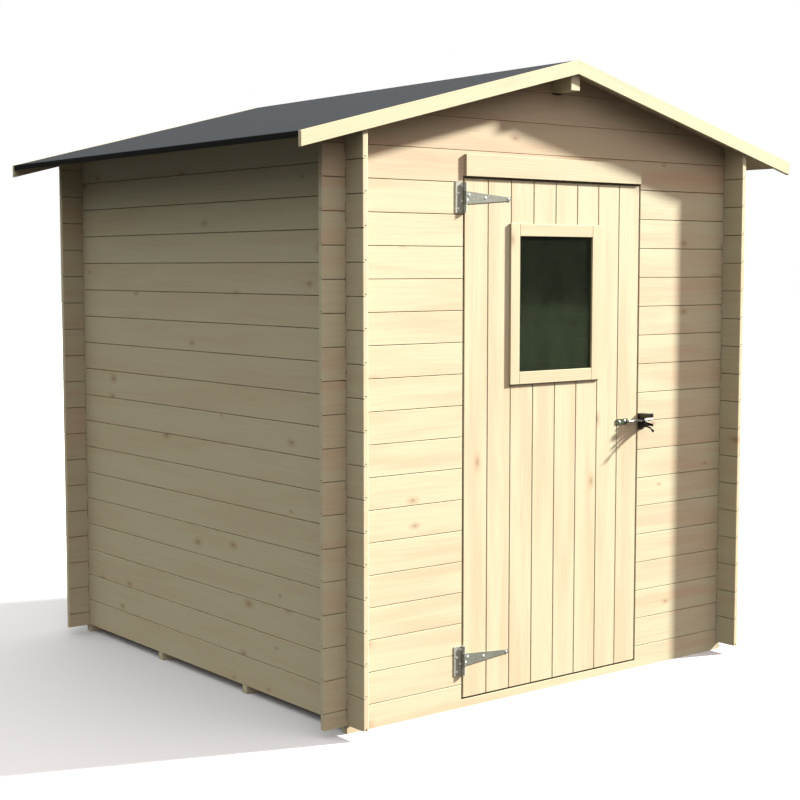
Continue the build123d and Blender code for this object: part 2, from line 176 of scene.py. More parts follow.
# Knots: their sizes in their cells, how strongly they stain and dent the wood, and their
# colours as shares of its deep colour
KNOT_SIZES = (0.030, 0.080)
KNOT_HALO = 0.36
KNOT_HEART = 0.33
KNOT_DENT = 0.6
KNOT_RED = (0.95, 0.72, 0.58)
KNOT_BROWN = (0.42, 0.27, 0.18)

# Felt, metal and glass: how fine and how strong their patterns are, their relief and shine
FELT_GRAINS = 900
FELT_PATCHES = (1.4, 0.5, 1.4)
FELT_WORN = 0.35
FELT_RELIEF = 0.0009
FELT_SHINE = 0.2
ZINC_MOTTLE = 140
ZINC_SCUFFS = (60, 60, 420)
MOTTLE_SHARE = 0.7
SCUFF_SHARE = 0.6
ZINC_RELIEF = 0.00015
GLASS_SMEARS = (6, 6, 3)
GLASS_WAVES = 5.0
GLASS_RELIEF = 0.0004
GLASS_CLEARNESS = 0.96
GLASS_IOR = 1.5

# Painted shade: the share by which the wood's colour is darkened for light bounced between
# pieces, for dark recesses
PAINTED_BOUNCE_SHADE = 0.65
GABLE_PAINTED_BOUNCE_SHADE = 0.15

# Distances that count as none
SAME_LINE = 1e-6
SAME_POINT = 1e-7

# Places read from the frame
left_low, left_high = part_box("left_wall")
front_low, front_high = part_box("front_wall_left")
beam_low, beam_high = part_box("ridge_beam")
roof_low, roof_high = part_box("roof_boards_left")
felt_low, felt_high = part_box("roof_felt_left")
header_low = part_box("door_header")[0]
door_low, door_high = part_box("door_leaf")
window_low, window_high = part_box("window_beading")

foot = left_low.z
wall = left_high.x - left_low.x
half_depth = -front_low.y
end_reach = left_high.y
half_doorway = -front_high.x
doorway_top = header_low.z
course = (front_high.z - foot) / COURSES_BESIDE_DOOR
notch = course / 4
beam_side = beam_high.x
roof_slope = (beam_high.z - roof_low.z) / -roof_low.x
roof_board_plumb = roof_high.z - beam_high.z
felt_plumb = felt_high.z - roof_high.z
slot_bottom = beam_low.z - BEAM_CLEARANCE


def roof_under(x):
    """Height of the underside of the roof boards."""
    return beam_high.z - abs(x) * roof_slope


def roof_reach(z):
    """Distance from the middle at which the underside of the roof is that high."""
    return (beam_high.z - z) / roof_slope


# Planes that outlines are drawn in: a runs along the board, b across it and t through it
def facing(a, b, t):
    """Board that lies along X in a wall that faces along Y."""
    return Vector((a, t, b))


def sideways(a, b, t):
    """Board that lies along Y in a side wall."""
    return Vector((t, a, b))


def upright(a, b, t):
    """Board that stands up in a wall that faces along Y."""
    return Vector((b, t, a))


def level_along_y(a, b, t):
    """Floor board."""
    return Vector((b, a, t))


def level_along_x(a, b, t):
    """Joist."""
    return Vector((a, b, t))


def down_slope(a, b, t):
    """Roof board, with its ends cut plumb."""
    return Vector((a, b, roof_under(a) + t))


def low_edge(low, cuts):
    """Points of the cuts in a lower edge. A cut is given as its start, end and depth."""
    points = []
    for start, end, depth in cuts:
        points += [(start, low), (start, low + depth), (end, low + depth), (end, low)]
    return points


def high_edge(high, cuts):
    """Points of the cuts in an upper edge, on the way back."""
    points = []
    for start, end, depth in reversed(cuts):
        points += [(end, high), (end, high - depth), (start, high - depth), (start, high)]
    return points


def board_outline(start, end, low, high, low_cuts=(), high_cuts=()):
    """Outline of a board with its cuts."""
    return [
        (start, low),
        *low_edge(low, low_cuts),
        (end, low),
        (end, high),
        *high_edge(high, high_cuts),
        (start, high),
    ]


def gable_outline(low, high, low_cuts=(), high_cuts=()):
    """Outline of a board that is cut to both slopes of the roof."""
    reach = min(end_reach, roof_reach(low))
    right_end = [(reach, roof_under(reach))] if reach == end_reach else []
    left_end = [(-reach, roof_under(reach))] if reach == end_reach else []
    return [
        (-reach, low),
        *low_edge(low, low_cuts),
        (reach, low),
        *right_end,
        (roof_reach(high), high),
        *high_edge(high, high_cuts),
        (-roof_reach(high), high),
        *left_end,
    ]


def anticlockwise(outline):
    """The outline as vectors, turned round if it runs clockwise."""
    points = [Vector(point) for point in outline]
    area = sum(p.cross(q) for p, q in zip(points, points[1:] + points[:1]))
    return points[::-1] if area < 0 else points


def inset(outline, distance):
    """The outline with each of its edges moved inwards."""
    moved = []
    for number, here in enumerate(outline):
        before = here - outline[number - 1]
        after = outline[(number + 1) % len(outline)] - here
        first = Vector((-before.y, before.x)).normalized()
        second = Vector((-after.y, after.x)).normalized()
        moved.append(here + (first + second) * distance / (1 + first.dot(second)))
    return moved


def plank_layers(thin, thick, chamfer, gap, tongue_half, groove_half, jointed):
    """Layers of a board through its thickness: place, inset, groove depth and tongue height."""
    if not jointed:
        return [(thin, chamfer, 0, 0), (thin + chamfer, 0, 0, 0),
                (thick - chamfer, 0, 0, 0), (thick, chamfer, 0, 0)]
    middle = (thin + thick) / 2
    half = [
        ((thick - thin) / 2, chamfer, 0, 0),
        ((thick - thin) / 2 - chamfer, gap, 0, 0),
        (groove_half, gap, 0, 0),
        (groove_half, gap, GROOVE_DEPTH, 0),
        (tongue_half, gap, GROOVE_DEPTH, 0),
        (tongue_half, gap, GROOVE_DEPTH, TONGUE_RISE),
    ]
    low_side = [(middle - offset, *rest) for offset, *rest in half]
    high_side = [(middle + offset, *rest) for offset, *rest in reversed(half)]
    return low_side + high_side


def skin(mesh, rings):
    """Closed surface over a row of rings."""
    for ring, upper in zip(rings, rings[1:]):
        for number in range(len(ring)):
            after = (number + 1) % len(ring)
            mesh.faces.new((ring[number], ring[after], upper[after], upper[number]))
    mesh.faces.new(rings[0][::-1])
    mesh.faces.new(rings[-1])


class Timber:
    """A mesh of separate boards. Each vertex keeps its place in the grain of its own board."""

    def __init__(self):
        self.mesh = bmesh.new()
        self.grain = self.mesh.verts.layers.float_vector.new("grain")
        self.tone = self.mesh.verts.layers.float.new("tone")

    def plank(self, outline, span, place, along, joints=None, chamfer=PLANED_EDGE, gap=0.0,
              tongue_half=TONGUE_HALF, groove_half=GROOVE_HALF, crown=None):
        """One board: an outline in a plane, and the span of its thickness through it.

        Joints are the b of its groove edge and of its tongue edge. A crown gives the b of
        the tongue edge through the thickness, where the roof lies on that edge.
        """
        outline = anticlockwise(outline)
        across = (place(0, 1, 0) - place(0, 0, 0)).cross(along).cross(along).normalized()
        through = along.cross(across)
        middle = place(0, sum(joints or (0, 0)) / 2, span[0])
        shift = Vector((chance.uniform(0, LOG_LENGTH),
                        chance.uniform(-HEART_SIDEWAYS, HEART_SIDEWAYS),
                        chance.uniform(*HEART_DISTANCE)))
        tone = chance.random()
        layers = plank_layers(*span, chamfer, gap, tongue_half, groove_half, joints)
        rings = []
        for t, distance, groove, tongue in layers:
            ring = []
            for point, corner in zip(inset(outline, distance), outline):
                b = point.y
                if joints and abs(corner.y - joints[0]) < SAME_LINE:
                    b += groove
                if joints and abs(corner.y - joints[1]) < SAME_LINE:
                    b = crown(t) if crown else b + tongue
                where = place(point.x, b, t)
                spot = where - middle
                vertex = self.mesh.verts.new(where)
                vertex[self.grain] = Vector((spot.dot(along), spot.dot(across),
                                             spot.dot(through))) + shift
                vertex[self.tone] = tone
                ring.append(vertex)
            rings.append(ring)
        skin(self.mesh, rings)

    def piece(self, name, body, material, slot, *nodes):
        """The boards as one piece that stands for these CAD nodes."""
        bmesh.ops.remove_doubles(self.mesh, verts=self.mesh.verts, dist=SAME_POINT)
        bmesh.ops.recalc_face_normals(self.mesh, faces=self.mesh.faces)
        return finished(self.mesh, name, body, material, slot, *nodes)


def finished(mesh, name, body, material, slot, *nodes, smooth=None):
    """Turns a bmesh into a piece of the object, with edges round up to the angle smooth."""
    data = bpy.data.meshes.new(name)
    mesh.to_mesh(data)
    mesh.free()
    piece = bpy.data.objects.new(name, data)
    bpy.context.scene.collection.objects.link(piece)
    data.materials.append(material)
    if smooth is not None:
        data.shade_smooth()
        data.set_sharp_from_angle(angle=math.radians(smooth))
    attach(piece, body)
    if nodes:
        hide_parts(*nodes)
    return piece


# Shader helpers
def feed(tree, socket, value):
    """Links an output to a socket, or sets the socket's own value."""
    if isinstance(value, bpy.types.NodeSocket):
        tree.links.new(value, socket)
    else:
        socket.default_value = value


def calc(tree, operation, *values, clamp=False):
    """A Math node."""
    node = tree.nodes.new("ShaderNodeMath")
    node.operation = operation
    node.use_clamp = clamp
    for socket, value in zip(node.inputs, values):
        feed(tree, socket, value)
    return node.outputs[0]


def stretched(tree, vector, scale):
    """A vector with each of its parts scaled."""
    node = tree.nodes.new("ShaderNodeVectorMath")
    node.operation = "MULTIPLY"
    feed(tree, node.inputs[0], vector)
    node.inputs[1].default_value = scale
    return node.outputs[0]


def clouds(tree, vector, scale=1.0, detail=2.0, roughness=0.5):
    """A Noise texture."""
    node = tree.nodes.new("ShaderNodeTexNoise")
    feed(tree, node.inputs["Vector"], vector)
    node.inputs["Scale"].default_value = scale
    node.inputs["Detail"].default_value = detail
    node.inputs["Roughness"].default_value = roughness
    return node.outputs[0]


def spread(tree, value, low, high, start=0.0, end=1.0):
    """A value from low to high, mapped to run from start to end."""
    node = tree.nodes.new("ShaderNodeMapRange")
    feed(tree, node.inputs["Value"], value)
    node.inputs["From Min"].default_value = low
    node.inputs["From Max"].default_value = high
    node.inputs["To Min"].default_value = start
    node.inputs["To Max"].default_value = end
    return node.outputs["Result"]


def blend(tree, factor, first, second):
    """A mix of two colours."""
    node = tree.nodes.new("ShaderNodeMix")
    node.data_type = "RGBA"
    colours = [socket for socket in node.inputs if socket.type == "RGBA"]
    feed(tree, node.inputs["Factor"], factor)
    feed(tree, colours[0], first)
    feed(tree, colours[1], second)
    return next(socket for socket in node.outputs if socket.type == "RGBA")


def bump(tree, shader, height, distance, strength=1.0):
    """Relief on the shader's normal."""
    node = tree.nodes.new("ShaderNodeBump")
    node.inputs["Strength"].default_value = strength
    node.inputs["Distance"].default_value = distance
    feed(tree, node.inputs["Height"], height)
    tree.links.new(node.outputs["Normal"], shader.inputs["Normal"])


def new_material(name):
    """A material, its node tree and its shader."""
    material = bpy.data.materials.new(name)
    material.use_nodes = True
    return material, material.node_tree, material.node_tree.nodes["Principled BSDF"]


def attribute(tree, name, output):
    """A value kept at the vertices."""
    node = tree.nodes.new("ShaderNodeAttribute")
    node.attribute_name = name
    return node.outputs[output]


def growth_rings(tree, grain):
    """Rings round the heart of the log, which sways a little along the board."""
    sway = clouds(tree, stretched(tree, grain, SWAY_SCALE))
    flat = tree.nodes.new("ShaderNodeVectorMath")
    flat.operation = "LENGTH"
    feed(tree, flat.inputs[0], stretched(tree, grain, (0, 1, 1)))
    swayed = calc(tree, "MULTIPLY", sway, RING_SWAY)
    radius = calc(tree, "ADD", flat.outputs["Value"], swayed)
    return calc(tree, "SINE", calc(tree, "MULTIPLY", radius, 2 * math.pi / RING_WIDTH))


def knots_in(tree, grain, share):
    """Knots in a share of the cells of the board's face: their halo and their heart."""
    cells = tree.nodes.new("ShaderNodeTexVoronoi")
    cells.voronoi_dimensions = "2D"
    cells.inputs["Scale"].default_value = 1.0
    cells.inputs["Randomness"].default_value = 0.9
    feed(tree, cells.inputs["Vector"], stretched(tree, grain, KNOT_CELLS))
    pick = tree.nodes.new("ShaderNodeSeparateColor")
    feed(tree, pick.inputs["Color"], cells.outputs["Color"])
    chosen = calc(tree, "LESS_THAN", pick.outputs["Red"], share)
    size = spread(tree, pick.outputs["Green"], 0.0, 1.0, *KNOT_SIZES)
    nearness = calc(tree, "DIVIDE", cells.outputs["Distance"], size)
    halo = calc(tree, "MULTIPLY", spread(tree, nearness, 1.0, 2.8, KNOT_HALO, 0.0), chosen)
    heart = calc(tree, "MULTIPLY", spread(tree, nearness, 0.45, 1.0, KNOT_HEART, 0.0), chosen)
    return halo, heart


def shaded(colour, shares):
    """A colour with its parts scaled, as a shader takes it."""
    return (*(value * share for value, share in zip(colour, shares)), 1)


def pine(name, pale, warm, deep, contrast=1.0, knots=0.1, rough=0.62, relief=0.0004,
         bounce_shade=PAINTED_BOUNCE_SHADE):
    """Planed softwood: soft bands along the board, faint rings, fine fibres and a few knots.

    The last argument is painted shade: the share by which its colour darkens for light bounced
    between pieces, which darkens recesses.
    """
    material, tree, shader = new_material(name)
    grain = attribute(tree, "grain", "Vector")
    tone = attribute(tree, "tone", "Fac")

    bands = clouds(tree, stretched(tree, grain, BAND_SCALE), detail=3.0)
    bands = calc(tree, "ADD", bands, spread(tree, tone, 0.0, 1.0, -TONE_SHIFT, TONE_SHIFT))
    colour = blend(tree, spread(tree, bands, 0.45, 0.65), (*pale, 1), (*warm, 1))

    rings = spread(tree, growth_rings(tree, grain), -0.2, 1.0, 0.0, RING_STAIN * contrast)
    colour = blend(tree, rings, colour, (*deep, 1))

    fibres = clouds(tree, stretched(tree, grain, FIBRE_SCALE), detail=4.0, roughness=0.6)
    streaks = spread(tree, fibres, 0.52, 0.80, 0.0, FIBRE_STAIN * contrast)
    colour = blend(tree, streaks, colour, (*deep, 1))

    halo, heart = knots_in(tree, grain, knots)
    colour = blend(tree, halo, colour, shaded(deep, KNOT_RED))
    colour = blend(tree, heart, colour, shaded(deep, KNOT_BROWN))

    # Painted shade: the colour darkens for diffuse rays, so light bounced between pieces is
    # weaker and recesses come out darker
    bounced = tree.nodes.new("ShaderNodeLightPath").outputs["Is Diffuse Ray"]
    colour = blend(tree, calc(tree, "MULTIPLY", bounced, bounce_shade), colour, (0, 0, 0, 1))
    tree.links.new(colour, shader.inputs["Base Color"])

    gloss = spread(tree, fibres, 0.3, 0.8, rough - 0.08, rough + 0.12)
    tree.links.new(gloss, shader.inputs["Roughness"])
    height = calc(tree, "SUBTRACT", fibres, calc(tree, "MULTIPLY", heart, KNOT_DENT))
    height = calc(tree, "ADD", height, rings)
    bump(tree, shader, height, relief)
    shader.inputs["Specular IOR Level"].default_value = WOOD_SHINE
    return material


def roofing_felt(name, bitumen, slate, rubbed):
    """Mineral felt: dark bitumen with slate grey grains pressed in, rubbed here and there."""
    material, tree, shader = new_material(name)
    place = tree.nodes.new("ShaderNodeTexCoord").outputs["Object"]
    grains = clouds(tree, place, FELT_GRAINS, roughness=0.7)
    patches = clouds(tree, stretched(tree, place, FELT_PATCHES), 3.0, 4.0, 0.55)
    speckle = spread(tree, grains, 0.42, 0.62)
    colour = blend(tree, speckle, (*bitumen, 1), (*slate, 1))
    worn = spread(tree, patches, 0.45, 0.75, 0.0, FELT_WORN)
    colour = blend(tree, worn, colour, (*rubbed, 1))
    tree.links.new(colour, shader.inputs["Base Color"])
    shader.inputs["Specular IOR Level"].default_value = FELT_SHINE
    tree.links.new(spread(tree, grains, 0.3, 0.7, 0.80, 0.96), shader.inputs["Roughness"])
    bump(tree, shader, grains, FELT_RELIEF)
    return material


def zinc(name, dark, light, rough, metal):
    """Plated sheet metal with soft mottling and scuffs."""
    material, tree, shader = new_material(name)
    place = tree.nodes.new("ShaderNodeTexCoord").outputs["Object"]
    mottle = tree.nodes.new("ShaderNodeTexVoronoi")
    mottle.feature = "SMOOTH_F1"
    mottle.inputs["Scale"].default_value = ZINC_MOTTLE
    feed(tree, mottle.inputs["Vector"], place)
    scuffs = clouds(tree, stretched(tree, place, ZINC_SCUFFS), detail=4.0, roughness=0.65)
    mix = calc(tree, "ADD", calc(tree, "MULTIPLY", mottle.outputs["Distance"], MOTTLE_SHARE),
               calc(tree, "MULTIPLY", scuffs, SCUFF_SHARE))
    colour = blend(tree, spread(tree, mix, 0.25, 0.75), (*dark, 1), (*light, 1))
    tree.links.new(colour, shader.inputs["Base Color"])
    tree.links.new(spread(tree, scuffs, 0.3, 0.75, rough - 0.1, rough + 0.15),
                   shader.inputs["Roughness"])
    shader.inputs["Metallic"].default_value = metal
    bump(tree, shader, scuffs, ZINC_RELIEF)
    return material


def pane_glass(name, dark, light):
    """Clear glass with a cast, faint smears and a slight wave."""
    material, tree, shader = new_material(name)
    place = tree.nodes.new("ShaderNodeTexCoord").outputs["Object"]
    smears = clouds(tree, stretched(tree, place, GLASS_SMEARS), 2.0, 4.0, 0.6)
    colour = blend(tree, spread(tree, smears, 0.35, 0.70), (*dark, 1), (*light, 1))
    tree.links.new(colour, shader.inputs["Base Color"])
    tree.links.new(spread(tree, smears, 0.4, 0.8, 0.02, 0.07), shader.inputs["Roughness"])
    shader.inputs["Transmission Weight"].default_value = GLASS_CLEARNESS
    shader.inputs["IOR"].default_value = GLASS_IOR
    bump(tree, shader, clouds(tree, place, GLASS_WAVES, detail=1.0), GLASS_RELIEF)
    return material


def studio_floor():
    """Pale matt floor."""
    material, tree, shader = new_material("studio_floor")
    shader.inputs["Base Color"].default_value = (FLOOR_TONE, FLOOR_TONE, FLOOR_TONE, 1)
    shader.inputs["Roughness"].default_value = 0.9
    shader.inputs["Specular IOR Level"].default_value = 0.1
    return material


# Finishes
PALE = (0.66, 0.60, 0.395)
WARM = (0.655, 0.52, 0.335)
DEEP = (0.44, 0.31, 0.18)
wall_pine = pine("wall_pine", PALE, WARM, DEEP, knots=0.14)
side_pine = pine("side_pine", (0.66, 0.590, 0.385), (0.65, 0.545, 0.35), DEEP, knots=0.13)
# The gable gets less painted shade from bounced light, so its shade comes out lighter
gable_pine = pine("gable_pine", (0.655, 0.545, 0.355), (0.65, 0.475, 0.305), DEEP, knots=0.12,
                  bounce_shade=GABLE_PAINTED_BOUNCE_SHADE)
trim_pine = pine("trim_pine", (0.64, 0.58, 0.37), (0.64, 0.53, 0.34), DEEP, contrast=0.8,
                 knots=0.05)
header_pine = pine("header_pine", (0.64, 0.56, 0.365), (0.63, 0.50, 0.33), DEEP, knots=0.05)
door_pine = pine("door_pine", PALE, (0.655, 0.53, 0.34), DEEP, knots=0.05)
frame_pine = pine("frame_pine", PALE, WARM, DEEP, knots=0.1)
roof_pine = pine("roof_pine", (0.60, 0.52, 0.34), (0.57, 0.43, 0.27), DEEP, knots=0.14)
floor_pine = pine("floor_pine", (0.60, 0.52, 0.34), (0.57, 0.43, 0.27), DEEP, knots=0.14)
sawn_pine = pine("sawn_pine", (0.66, 0.60, 0.41), (0.62, 0.52, 0.35), (0.36, 0.25, 0.15),
                 contrast=1.3, knots=0.14, rough=0.78, relief=0.0012)
felt_finish = roofing_felt("roofing_felt", (0.013, 0.016, 0.019), (0.035, 0.043, 0.051),
                           (0.024, 0.029, 0.034))
# Painted shade: a near-black copy of the felt for the fold over the eave, standing in for the
# shade on its upright side
painted_shade_fold_finish = roofing_felt("roofing_felt_fold_painted_shade", (0.003, 0.003, 0.002), (0.009, 0.010, 0.008),
                           (0.006, 0.006, 0.005))
hinge_zinc = zinc("hinge_zinc", (0.18, 0.19, 0.155), (0.28, 0.29, 0.235), 0.48, 0.4)
# Painted light: the hinge plates get a lighter copy of the straps' zinc, which offsets the shadow
# the barrel casts on them
plate_zinc_painted_light = zinc("plate_zinc_painted_light", (0.33, 0.34, 0.28), (0.48, 0.49, 0.41), 0.48, 0.35)
screw_zinc = zinc("screw_zinc", (0.70, 0.70, 0.66), (0.86, 0.86, 0.82), 0.30, 0.35)
latch_metal = zinc("latch_metal", (0.020, 0.020, 0.016), (0.075, 0.075, 0.062), 0.30, 0.8)
striker_metal = zinc("striker_metal", (0.045, 0.062, 0.030), (0.17, 0.22, 0.12), 0.30, 0.5)
bar_metal = zinc("bar_metal", (0.34, 0.34, 0.33), (0.62, 0.62, 0.60), 0.28, 0.6)
glass_finish = pane_glass("pane_glass", (0.17, 0.24, 0.13), (0.23, 0.30, 0.17))

# Notches in the edge of a board, near its ends, where the boards of the other walls cross it
corner_cuts = [(-half_depth, -half_depth + wall, notch), (half_depth - wall, half_depth, notch)]


def make_side_wall(name, low, high):
    """Side wall: its boards start at the foot and cross the front and back boards."""
    timber = Timber()
    for number in range(SIDE_COURSES):
        bottom = foot + number * course
        top = bottom + course
        last = number == SIDE_COURSES - 1
        timber.plank(
            board_outline(low.y, high.y, bottom, top, corner_cuts, corner_cuts),
            (low.x, high.x), sideways, Y, (bottom, top), BOARD_CHAMFER, BOARD_GAP,
            crown=roof_under if last else None,
        )
    timber.piece(f"{name}_boards", "shed", side_pine, "wall_boards", name)


# Joints of the front and back walls, which start with half a board
front_joints = [foot] + [foot + (number + 0.5) * course for number in range(SIDE_COURSES + 2)]

# Number of the joint at which the front gable starts
split = SIDE_COURSES - 1

# Front and back wall through their thickness
front_span = (front_low.y, front_low.y + wall)
back_span = (half_depth - wall, half_depth)


def add_course(timber, number, start, end, span, door_cut=()):
    """One straight course of the front or back wall, half a board out of step."""
    low, high = front_joints[number], front_joints[number + 1]
    cuts = [cut for cut in corner_cuts if start < cut[0] and cut[1] < end]
    low_cuts = sorted([*(cuts if number else ()), *door_cut])
    edge = low if number else low - BOARD_CHAMFER
    timber.plank(
        board_outline(start, end, edge, high, low_cuts, cuts),
        span, facing, X, (low, high), BOARD_CHAMFER, BOARD_GAP,
    )


def add_gable(timber, span):
    """The boards above the eaves, cut to the slopes and open for the ridge beam."""
    first, second, third = front_joints[SIDE_COURSES:]
    slot = [(-beam_side, beam_side, third - slot_bottom)]
    for low, high, low_cuts, high_cuts in (
        (first, second, corner_cuts, ()),
        (second, third, (), slot),
    ):
        timber.plank(gable_outline(low, high, low_cuts, high_cuts), span, facing, X,
                     (low, high), GABLE_CHAMFER, GABLE_GAP)
    for side in (-1, 1):
        outline = [
            (side * beam_side, third),
            (side * roof_reach(third), third),
            (side * beam_side, roof_under(beam_side)),
        ]
        timber.plank(outline, span, facing, X, (third, beam_high.z), GABLE_CHAMFER, GABLE_GAP)


def make_front_walls():
    """The front wall on both sides of the doorway."""
    for name, start, end in (
        ("front_wall_left", -end_reach, -half_doorway),
        ("front_wall_right", half_doorway, end_reach),
    ):
        timber = Timber()
        for number in range(split):
            add_course(timber, number, start, end, front_span)
        timber.piece(f"{name}_boards", "shed", wall_pine, "wall_boards", name)


def make_front_gable():
    """The front gable, whose lowest course is cut out over the doorway."""
    timber = Timber()
    door_cut = (-half_doorway, half_doorway, doorway_top - front_joints[split])
    add_course(timber, split, -end_reach, end_reach, front_span, [door_cut])
    add_gable(timber, front_span)
    timber.piece("front_gable_boards", "shed", gable_pine, "wall_boards", "front_gable")


def make_back_wall():
    """The back wall with its gable."""
    timber = Timber()
    for number in range(SIDE_COURSES):
        add_course(timber, number, -end_reach, end_reach, back_span)
    add_gable(timber, back_span)
    timber.piece("back_wall_boards", "shed", wall_pine, "wall_boards", "back_wall")


def make_door_boards():
    """Upright boards of the door, cut out round the window."""
    timber = Timber()
    width = (door_high.x - door_low.x) / DOOR_BOARDS
    start, end = door_low.z, door_high.z
    for number in range(DOOR_BOARDS):
        left = door_low.x + number * width
        right = left + width
        cut_left = max(left, window_low.x)
        cut_right = min(right, window_high.x)
        outlines = [board_outline(start, end, left, right)]
        if cut_left < cut_right:
            opening = (window_low.z, window_high.z, cut_right - cut_left)
            outlines = [
                board_outline(start, window_low.z, left, right),
                board_outline(window_high.z, end, left, right),
            ]
            if cut_left > left:
                outlines = [board_outline(start, end, left, right, (), [opening])]
            if cut_right < right:
                outlines = [board_outline(start, end, left, right, [opening])]
        for outline in outlines:
            timber.plank(outline, (door_low.y, door_high.y), upright, Z, (left, right),
                         DOOR_CHAMFER, DOOR_BOARD_GAP, THIN_TONGUE_HALF, THIN_GROOVE_HALF)
    timber.piece("door_boards", "door", door_pine, "door_boards", "door_leaf")


def make_floor():
    """Floor boards from the front to the back."""
    low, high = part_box("floor")
    timber = Timber()
    width = (high.x - low.x) / FLOOR_BOARDS
    for number in range(FLOOR_BOARDS):
        left = low.x + number * width
        timber.plank(board_outline(low.y, high.y, left, left + width), (low.z, high.z),
                     level_along_y, Y, (left, left + width), BOARD_CHAMFER, BOARD_GAP,
                     THIN_TONGUE_HALF, THIN_GROOVE_HALF)
    timber.piece("floor_boards", "shed", floor_pine, "floor_boards", "floor")


def make_roof_boards():
    """Roof boards from the ridge to the eaves, with their V joints below."""
    width = (roof_high.y - roof_low.y) / ROOF_BOARDS
    for name, side in (("roof_boards_left", -1), ("roof_boards_right", 1)):
        along = Vector((side, 0, -roof_slope)).normalized()
        eave = side * -roof_low.x
        timber = Timber()
        for number in range(ROOF_BOARDS):
            start = roof_low.y + number * width
            timber.plank(
                board_outline(min(0, eave), max(0, eave), start, start + width),
                (0, roof_board_plumb), down_slope, along, (start, start + width),
                BOARD_CHAMFER, BOARD_GAP, THIN_TONGUE_HALF, THIN_GROOVE_HALF,
            )
        timber.piece(f"{name}_laid", "shed", roof_pine, "roof_boards", name)


def felt_profile():
    """Section of the felt from the ridge down, round the fold at the eave, and back."""
    eave = -roof_low.x
    fold = -felt_low.x
    board_top = roof_under(fold) + roof_board_plumb
    steps = [eave * number / FELT_STEPS for number in range(FELT_STEPS + 1)]
    top = [(x, roof_under(x) + roof_board_plumb + felt_plumb) for x in steps]
    round_over = [
        (fold - (fold - eave) * FOLD_START, board_top + felt_plumb * FOLD_RISE),
        (fold, roof_under(fold) + roof_board_plumb * FOLD_DROP),
    ]
    edge = [(fold, roof_under(fold)), (eave, roof_under(eave))]
    return top + round_over + edge + [(x, z - felt_plumb) for x, z in reversed(top)]


def make_felt(name, side):
    """Felt on the boards: slightly uneven, and folded down over the eave."""
    profile = felt_profile()
    mesh = bmesh.new()
    rings = []
    for step in range(FELT_STEPS + 1):
        y = felt_low.y + (felt_high.y - felt_low.y) * step / FELT_STEPS
        ring = []
        for number, (x, z) in enumerate(profile):
            if 0 < number < FELT_STEPS:
                spot = Vector((x * WAVES_A_METRE, y * WAVES_A_METRE, side))
                z -= FELT_WAVE * (1 + noise.noise(spot))
            ring.append(mesh.verts.new((side * x, y, z)))
        rings.append(ring)
    skin(mesh, rings)
    bmesh.ops.recalc_face_normals(mesh, faces=mesh.faces)
    sheet = finished(mesh, f"{name}_sheet", "shed", felt_finish, "roof_felt", name,
                     smooth=FELT_SMOOTH)
    # Painted shade: the fold's faces get the near-black copy of the felt
    sheet.data.materials.append(painted_shade_fold_finish)
    for face in sheet.data.polygons:
        if abs(face.center.x) > -roof_low.x - EAVE_MARGIN and abs(face.normal.z) < STEEP:
            face.material_index = 1


def make_bargeboards():
    """Bargeboards with plumb cuts at the ridge and at the eaves."""
    for end_name in ("front", "back"):
        for side_name, side in (("left", -1), ("right", 1)):
            node = f"bargeboard_{end_name}_{side_name}"
            low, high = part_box(node)
            reach = max(-low.x, high.x)
            drop = reach * roof_slope
            height = high.z - drop - low.z
            outline = [
                (0, high.z),
                (side * reach, high.z - drop),
                (side * reach, low.z),
                (0, high.z - height),
            ]
            timber = Timber()
            along = Vector((side, 0, -roof_slope)).normalized()
            timber.plank(outline, (low.y, high.y), facing, along, chamfer=FINE_EDGE)
            timber.piece(f"{node}_planed", "shed", trim_pine, "trim_wood", node)


def make_ridge_beam():
    """Ridge beam with its top planed to the slopes."""
    outline = [
        (-beam_side, beam_low.z),
        (beam_side, beam_low.z),
        (beam_side, roof_under(beam_side)),
        (0, beam_high.z),
        (-beam_side, roof_under(beam_side)),
    ]
    timber = Timber()
    timber.plank(outline, (beam_low.y, beam_high.y), facing, Y)
    timber.piece("ridge_beam_planed", "shed", frame_pine, "frame_wood", "ridge_beam")


def make_plain(node, place, along, body, material, slot, edge=PLANED_EDGE):
    """A straight board or post in the box of its node."""
    low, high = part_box(node)
    spans = {
        facing: ((low.x, high.x), (low.z, high.z), (low.y, high.y)),
        upright: ((low.z, high.z), (low.x, high.x), (low.y, high.y)),
        level_along_x: ((low.x, high.x), (low.y, high.y), (low.z, high.z)),
    }
    length, height, thickness = spans[place]
    timber = Timber()
    timber.plank(board_outline(*length, *height), thickness, place, along, chamfer=edge)
    timber.piece(f"{node}_planed", body, material, slot, node)


def make_brace():
    """Brace of the door between its two lower ledges."""
    low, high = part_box("door_brace")
    outline = [
        (low.x, low.z),
        (low.x + BRACE_WIDTH, low.z),
        (high.x, high.z),
        (high.x - BRACE_WIDTH, high.z),
    ]
    along = Vector((high.x - low.x - BRACE_WIDTH, 0, high.z - low.z)).normalized()
    timber = Timber()
    timber.plank(outline, (low.y, high.y), facing, along)
    timber.piece("door_brace_planed", "door", frame_pine, "frame_wood", "door_brace")


def make_beading():
    """Beading round the glass: rails between two stiles."""
    low, high = window_low, window_high
    timber = Timber()
    for start in (low.x, high.x - BEAD_WIDTH):
        timber.plank(board_outline(low.z, high.z, start, start + BEAD_WIDTH),
                     (low.y, high.y), upright, Z)
    for start in (low.z, high.z - BEAD_WIDTH):
        timber.plank(
            board_outline(low.x + BEAD_WIDTH, high.x - BEAD_WIDTH, start, start + BEAD_WIDTH),
            (low.y, high.y), facing, X,
        )
    timber.piece("window_beading_planed", "door", frame_pine, "frame_wood", "window_beading")


